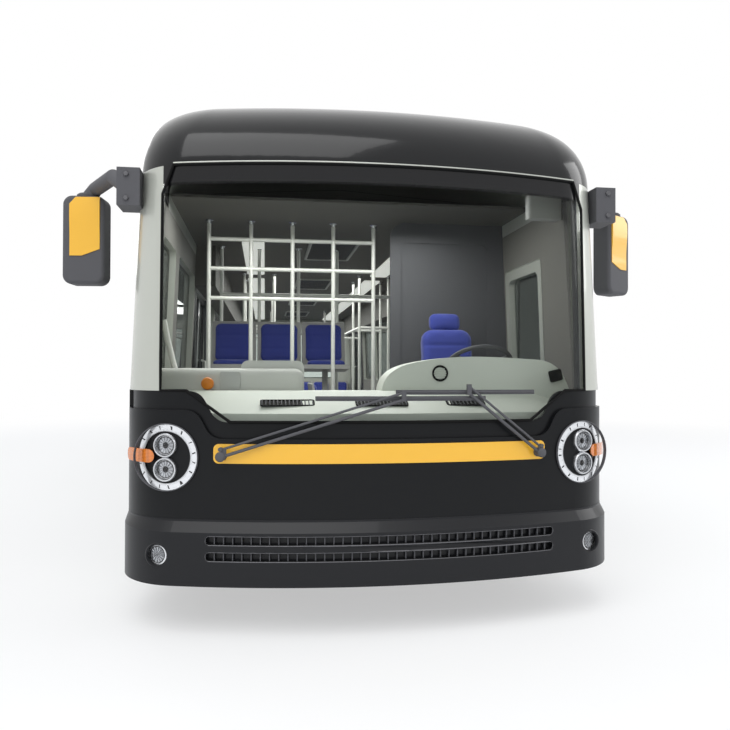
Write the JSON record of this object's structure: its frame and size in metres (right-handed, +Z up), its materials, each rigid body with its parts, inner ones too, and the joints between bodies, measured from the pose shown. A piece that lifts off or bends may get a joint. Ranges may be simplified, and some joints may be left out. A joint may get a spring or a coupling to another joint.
{
  "type": "airport passenger bus",
  "caption": "Wide low-floor airport apron bus with double doors on both sides, a bowed black front mask with ring lamps, a wrap-round windscreen and a driver's cab.",
  "frame": {"origin": "on the ground under the middle of the bumper-to-bumper length and width", "axes": "+Z up, -Y towards the nose, +X towards the bus's left side, where the driver sits"},
  "size_m": [4.0026, 13.9, 3.34],
  "materials": {
    "black_paint": "gloss black",
    "yellow_paint": "gloss yellow",
    "silver_paint": "pale silver paint",
    "lamp_ring": "bright",
    "amber": "amber lens",
    "red_lens": "red lens",
    "glass": "clear",
    "grey_trim": "satin grey",
    "white_trim": "satin off-white",
    "dark_trim": "satin dark",
    "door_metal": "anodised",
    "floor_cover": "speckled vinyl",
    "frame_paint": "black chassis paint",
    "cast_metal": "cast",
    "seat_blue": "woven blue",
    "tube_paint": "pale grey powder coat",
    "rim_steel": "silver wheel paint",
    "tyre": "black rubber"
  },
  "bodies": {
    "body": {"front_mask": "black_paint", "front_bumper": "black_paint", "front_band": "yellow_paint", "headlamps": "lamp_ring", "turn_signals": "amber", "windscreen": "glass", "corner_pillars": "silver_paint", "roof_cap": "black_paint", "side_wall_left": "silver_paint", "side_wall_right": "silver_paint", "side_glass": "glass", "rear_wall": "silver_paint", "tail_lamps": "red_lens", "rear_bumper": "black_paint", "roof": "silver_paint", "ceiling": "grey_trim", "roof_unit": "white_trim", "towing_lug": "cast_metal", "floor": "floor_cover", "cab_floor": "floor_cover", "wheelhouses": "grey_trim", "chassis": "frame_paint", "engine": "cast_metal", "engine_cover": "white_trim", "dashboard": "white_trim", "driver_seat": "seat_blue", "driver_partition": "dark_trim", "passenger_seats": "seat_blue", "handrails": "tube_paint", "mirrors": "dark_trim", "wipers": "dark_trim", "front_axle": "frame_paint", "rear_axle": "frame_paint"},
    "driver_door": {"driver_door": "silver_paint"},
    "engine_flap": {"engine_flap": "silver_paint"},
    "knuckle_left": {"knuckle_left": "cast_metal"},
    "knuckle_right": {"knuckle_right": "cast_metal"},
    "steering_wheel": {"steering_wheel": "dark_trim"},
    "wheel_front_left": {"wheel_front_left": "rim_steel", "tyre_front_left": "tyre"},
    "wheel_front_right": {"wheel_front_right": "rim_steel", "tyre_front_right": "tyre"},
    "wheel_rear_left": {"wheel_rear_left": "rim_steel", "tyre_rear_left": "tyre"},
    "wheel_rear_right": {"wheel_rear_right": "rim_steel", "tyre_rear_right": "tyre"},
    "door_1_left_fore": {"door_1_left_fore": "door_metal"},
    "door_1_left_aft": {"door_1_left_aft": "door_metal"},
    "door_1_right_fore": {"door_1_right_fore": "door_metal"},
    "door_1_right_aft": {"door_1_right_aft": "door_metal"},
    "door_2_left_fore": {"door_2_left_fore": "door_metal"},
    "door_2_left_aft": {"door_2_left_aft": "door_metal"},
    "door_2_right_fore": {"door_2_right_fore": "door_metal"},
    "door_2_right_aft": {"door_2_right_aft": "door_metal"},
    "door_3_left_fore": {"door_3_left_fore": "door_metal"},
    "door_3_left_aft": {"door_3_left_aft": "door_metal"},
    "door_3_right_fore": {"door_3_right_fore": "door_metal"},
    "door_3_right_aft": {"door_3_right_aft": "door_metal"}
  },
  "joints": [
    {"name": "steer_left", "type": "hinge", "parent": "body", "child": "knuckle_left", "pos_m": [1.19, -4.2, 0.479], "axis": [0, 0, 1], "range_deg": [-40, 40]},
    {"name": "steer_right", "type": "hinge", "parent": "body", "child": "knuckle_right", "pos_m": [-1.19, -4.2, 0.479], "axis": [0, 0, 1], "range_deg": [-40, 40]},
    {"name": "wheel_front_left_spin", "type": "hinge", "parent": "knuckle_left", "child": "wheel_front_left", "pos_m": [1.315, -4.2, 0.479], "axis": [1, 0, 0], "continuous": true},
    {"name": "wheel_front_right_spin", "type": "hinge", "parent": "knuckle_right", "child": "wheel_front_right", "pos_m": [-1.315, -4.2, 0.479], "axis": [1, 0, 0], "continuous": true},
    {"name": "wheel_rear_left_spin", "type": "hinge", "parent": "body", "child": "wheel_rear_left", "pos_m": [1.315, 2.9, 0.479], "axis": [1, 0, 0], "continuous": true},
    {"name": "wheel_rear_right_spin", "type": "hinge", "parent": "body", "child": "wheel_rear_right", "pos_m": [-1.315, 2.9, 0.479], "axis": [1, 0, 0], "continuous": true},
    {"name": "steering_wheel_turn", "type": "hinge", "parent": "body", "child": "steering_wheel", "pos_m": [0.81, -5.97, 1.5], "axis": [0, 0.5736, 0.8192], "range_deg": [-640, 640]},
    {"name": "driver_door_swing", "type": "hinge", "parent": "body", "child": "driver_door", "pos_m": [1.499, -5.696, 1.3], "axis": [0, 0, 1], "range_deg": [-80, 0]},
    {"name": "engine_flap_lift", "type": "hinge", "parent": "body", "child": "engine_flap", "pos_m": [-1.499, -5.3, 1.228], "axis": [0, 1, 0], "range_deg": [0, 85]},
    {"name": "door_1_left_fore_swing", "type": "hinge", "parent": "body", "child": "door_1_left_fore", "pos_m": [1.405, -3.352, 1.3], "axis": [0, 0, 1], "range_deg": [0, 90]},
    {"name": "door_1_left_aft_swing", "type": "hinge", "parent": "body", "child": "door_1_left_aft", "pos_m": [1.405, -1.948, 1.3], "axis": [0, 0, 1], "range_deg": [-90, 0]},
    {"name": "door_1_right_fore_swing", "type": "hinge", "parent": "body", "child": "door_1_right_fore", "pos_m": [-1.405, -3.352, 1.3], "axis": [0, 0, 1], "range_deg": [-90, 0]},
    {"name": "door_1_right_aft_swing", "type": "hinge", "parent": "body", "child": "door_1_right_aft", "pos_m": [-1.405, -1.948, 1.3], "axis": [0, 0, 1], "range_deg": [0, 90]},
    {"name": "door_2_left_fore_swing", "type": "hinge", "parent": "body", "child": "door_2_left_fore", "pos_m": [1.405, -0.502, 1.3], "axis": [0, 0, 1], "range_deg": [0, 90]},
    {"name": "door_2_left_aft_swing", "type": "hinge", "parent": "body", "child": "door_2_left_aft", "pos_m": [1.405, 0.902, 1.3], "axis": [0, 0, 1], "range_deg": [-90, 0]},
    {"name": "door_2_right_fore_swing", "type": "hinge", "parent": "body", "child": "door_2_right_fore", "pos_m": [-1.405, -0.502, 1.3], "axis": [0, 0, 1], "range_deg": [-90, 0]},
    {"name": "door_2_right_aft_swing", "type": "hinge", "parent": "body", "child": "door_2_right_aft", "pos_m": [-1.405, 0.902, 1.3], "axis": [0, 0, 1], "range_deg": [0, 90]},
    {"name": "door_3_left_fore_swing", "type": "hinge", "parent": "body", "child": "door_3_left_fore", "pos_m": [1.405, 4.273, 1.3], "axis": [0, 0, 1], "range_deg": [0, 90]},
    {"name": "door_3_left_aft_swing", "type": "hinge", "parent": "body", "child": "door_3_left_aft", "pos_m": [1.405, 5.677, 1.3], "axis": [0, 0, 1], "range_deg": [-90, 0]},
    {"name": "door_3_right_fore_swing", "type": "hinge", "parent": "body", "child": "door_3_right_fore", "pos_m": [-1.405, 4.273, 1.3], "axis": [0, 0, 1], "range_deg": [-90, 0]},
    {"name": "door_3_right_aft_swing", "type": "hinge", "parent": "body", "child": "door_3_right_aft", "pos_m": [-1.405, 5.677, 1.3], "axis": [0, 0, 1], "range_deg": [0, 90]}
  ],
  "couplings": [
    {"joint": "steer_right", "follows": "steer_left", "ratio": 1},
    {"joint": "steering_wheel_turn", "follows": "steer_left", "ratio": 16},
    {"joint": "door_1_left_aft_swing", "follows": "door_1_left_fore_swing", "ratio": -1},
    {"joint": "door_1_right_aft_swing", "follows": "door_1_right_fore_swing", "ratio": -1},
    {"joint": "door_2_left_aft_swing", "follows": "door_2_left_fore_swing", "ratio": -1},
    {"joint": "door_2_right_aft_swing", "follows": "door_2_right_fore_swing", "ratio": -1},
    {"joint": "door_3_left_aft_swing", "follows": "door_3_left_fore_swing", "ratio": -1},
    {"joint": "door_3_right_aft_swing", "follows": "door_3_right_fore_swing", "ratio": -1}
  ]
}
